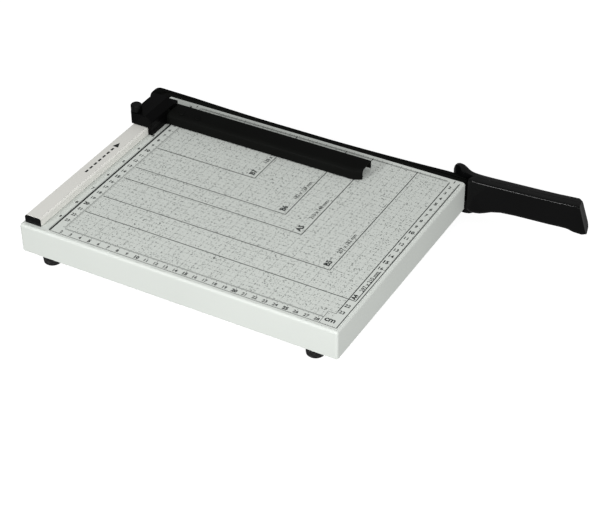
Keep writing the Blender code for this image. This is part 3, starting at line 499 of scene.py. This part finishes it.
def ruler_lines():
    """The heavy stop line, the rulers' edges, the unit mark's box and the ticks."""
    shapes = [upright(STOP_LINE, PRINT_FRONT, EDGES_BACK, HEAVY),
              along(STOP_LINE + 2, PRINT_RIGHT, PRINT_FRONT, FINE),
              upright(PRINT_RIGHT, PRINT_FRONT, PRINT_BACK),
              upright(BAND_LEFT, BAND_LEFT_FRONT, EDGES_BACK),
              along(SIDE_TICKS, BAND_BACK_END, BAND_BACK, HAIR),
              upright(UNIT_BOX_LEFT, PRINT_FRONT, UNIT_BOX_BACK, FINE),
              along(UNIT_BOX_LEFT, BAND_LEFT, UNIT_BOX_BACK, FINE),
              upright(BAND_LEFT, UNIT_BOX_BACK, BAND_LEFT_FRONT, FINE)]
    for count, pitch, lengths, draw in ((263, 1, (1.2, 1.8, 2.6), front_tick),
                                        (230, 1, (1.4, 2.2, 3.2), side_tick),
                                        (150, 1, (1.0, 1.5, 2.2), right_tick),
                                        (150, INCH / 16, (1.2, 1.2, 1.2), side_inch_tick),
                                        (182, INCH / 16, (0.8, 0.8, 0.8), front_inch_tick),
                                        (268, 1, (2.2, 2.8, 3.4), back_tick)):
        shapes += ticks(count, pitch, lengths, draw)
    return shapes


def lettering(name, entries):
    """Figures as one flat mesh. Each entry is (text, x, y, size, turn in degrees, weight)."""
    joined = bmesh.new()
    for text, x, y, size, turn, weight in entries:
        curve = bpy.data.curves.new("figure", "FONT")
        curve.body = text
        curve.size = size
        curve.offset = weight
        curve.align_x = curve.align_y = "CENTER"
        curve.resolution_u = 2
        made = bpy.data.objects.new("figure", curve)
        mesh = made.to_mesh()
        mesh.transform(Matrix.Translation((x, y, 0)) @ Matrix.Rotation(radians(turn), 4, "Z"))
        joined.from_mesh(mesh)
        made.to_mesh_clear()
        bpy.data.objects.remove(made)
        bpy.data.curves.remove(curve)
    bmesh.ops.scale(joined, vec=(MM, MM, MM), verts=joined.verts)
    bmesh.ops.translate(joined, vec=ORIGIN + Vector((0, 0, MM * INK_LIFT)), verts=joined.verts)
    mesh = bpy.data.meshes.new(name)
    joined.to_mesh(mesh)
    joined.free()
    add_piece(name, mesh, INK, "base")


def figure(number, x, y, size=4.6):
    """A ruler figure. Every fifth is larger and bolder."""
    growth, weight = (1.16, 0.28) if number % 5 == 0 else (1.08, 0.15)
    return str(number), x, y, size * growth, 0, weight


def sheet_labels():
    """Each sheet's name in its corner, and its size beside the line at its end, both read from the right."""
    labels = []
    for name, length, depth in SHEETS:
        # The A4 sheet ends inside the right ruler's band, so its label is smaller.
        inset, lift, size, middle = (3.2, 4.8, 5.6, 30) if name == "A4" else (5.8, 8.0, 7.6, 41)
        labels.append((name, length - inset, lift - depth, size, 90, 0.30))
        labels.append((f"{length} x {depth} mm", length - inset + 1.2, middle - depth, 5.4, 90, 0.10))
    return labels


def print_table():
    """All the print on the table. Each figure stands a little beside its tick."""
    ink_mesh("sheet_outlines", sheet_outlines())
    ink_mesh("ruler_lines", ruler_lines())
    lettering("front_ruler_figures", [figure(k, CM * k - 0.6, FRONT_FIGURES) for k in range(2, 29)])
    lettering("side_ruler_figures", [figure(k, SIDE_FIGURES, 1 - CM * k) for k in range(1, 24)])
    # The A4 sheet's label stands where the right ruler's missing figures would be.
    right = (*range(1, 17), 22, 23)
    lettering("right_ruler_figures", [figure(k, RIGHT_FIGURES, 1 - CM * k, 5.0) for k in right])
    lettering("inch_figures", [(str(k), INCH_FIGURES, 1.5 - INCH * k, 4.8, 0, 0.18) for k in range(1, 10)])
    lettering("sheet_labels", sheet_labels())
    lettering("unit_mark", [("cm", 290.2, -242.0, 8.5, 0, 0.25)])


def mark_fence():
    """A plain feed arrow on the paper stop: a row of dashes that ends in an arrow head."""
    middle, front, back = -9.2, -167, -118
    dashes, dash_share, half_dash = 7, 0.62, 1.0
    head_length, half_head = 7.5, 3.2
    pitch = (back - front) / dashes
    shapes = [bar(middle - half_dash, front + i * pitch, middle + half_dash, front + (i + dash_share) * pitch)
              for i in range(dashes)]
    shapes.append([(middle - half_head, back), (middle + half_head, back), (middle, back + head_length)])
    fence_height = (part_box("fence")[1][2] - TABLE_TOP) / MM
    ink_mesh("feed_arrow", shapes, fence_height)


# --- Light and camera ---------------------------------------------------------------------------
def add_stage():
    """A plain pale floor, nearly white under the studio light, which doesn't light the cutter from below."""
    reach = 6.0
    drop = 0.2 * MM               # how far the floor lies under the feet
    mesh = bpy.data.meshes.new("floor")
    mesh.from_pydata([(-reach, -reach, 0), (reach, -reach, 0), (reach, reach, 0), (-reach, reach, 0)], [],
                     [(0, 1, 2, 3)])
    shader = Shader("pale_floor", (0.32, 0.32, 0.32), 0.9, specular=0.0)
    shader.surface.inputs["Emission Color"].default_value = (1.0, 1.0, 1.0, 1.0)
    shader.surface.inputs["Emission Strength"].default_value = 0.86
    mesh.materials.append(shader.material)
    floor = bpy.data.objects.new("floor", mesh)
    floor.location.z = -drop
    bpy.context.collection.objects.link(floor)
    floor.visible_diffuse = False
    floor.visible_glossy = False


def add_light(name, direction, distance, size, power):
    """A square soft light that looks at the cutter from a direction."""
    lamp = bpy.data.lights.new(name, "AREA")
    lamp.shape = "SQUARE"
    lamp.size = size
    lamp.energy = power
    made = bpy.data.objects.new(name, lamp)
    way = Vector(direction).normalized()
    made.location = way * distance
    made.rotation_euler = way.to_track_quat("Z", "Y").to_euler()
    bpy.context.collection.objects.link(made)


def add_lights():
    world = bpy.data.worlds.new("studio")
    world.use_nodes = True
    background = world.node_tree.nodes["Background"]
    background.inputs["Color"].default_value = (1.0, 1.0, 1.0, 1.0)
    background.inputs["Strength"].default_value = 0.32
    bpy.context.scene.world = world
    add_light("key_light", (-0.31, -0.84, 0.45), 1.5, 0.28, 9.6)
    add_light("side_light", (0.70, -0.70, 0.40), 1.5, 0.5, 13.8)
    add_light("overhead_light", (0.15, -0.25, 1.0), 1.6, 1.4, 4.8)
    bpy.context.scene.view_settings.view_transform = "Standard"


def add_camera():
    """The camera looks along azimuth 29.6 and 37.0 degrees down, with a slight roll."""
    data = bpy.data.cameras.new("camera")
    data.sensor_width = 36
    data.lens = CAMERA_LENS
    made = bpy.data.objects.new("camera", data)
    turn = CAMERA_WAY.to_track_quat("-Z", "Y").to_matrix() @ Matrix.Rotation(radians(CAMERA_ROLL), 3, "Z")
    made.matrix_world = Matrix.Translation(ORIGIN + CAMERA_PLACE) @ turn.to_4x4()
    bpy.context.collection.objects.link(made)
    bpy.context.scene.camera = made


def main():
    add_camera()
    dress_nodes()
    for node, (width, flat) in EASED.items():
        ease_edges(node, width, flat)
    for node in NODES:
        if node.startswith(("knife_screw", "handle_screw")):
            cross_head(node)
    print_table()
    mark_fence()
    add_stage()
    add_lights()


main()
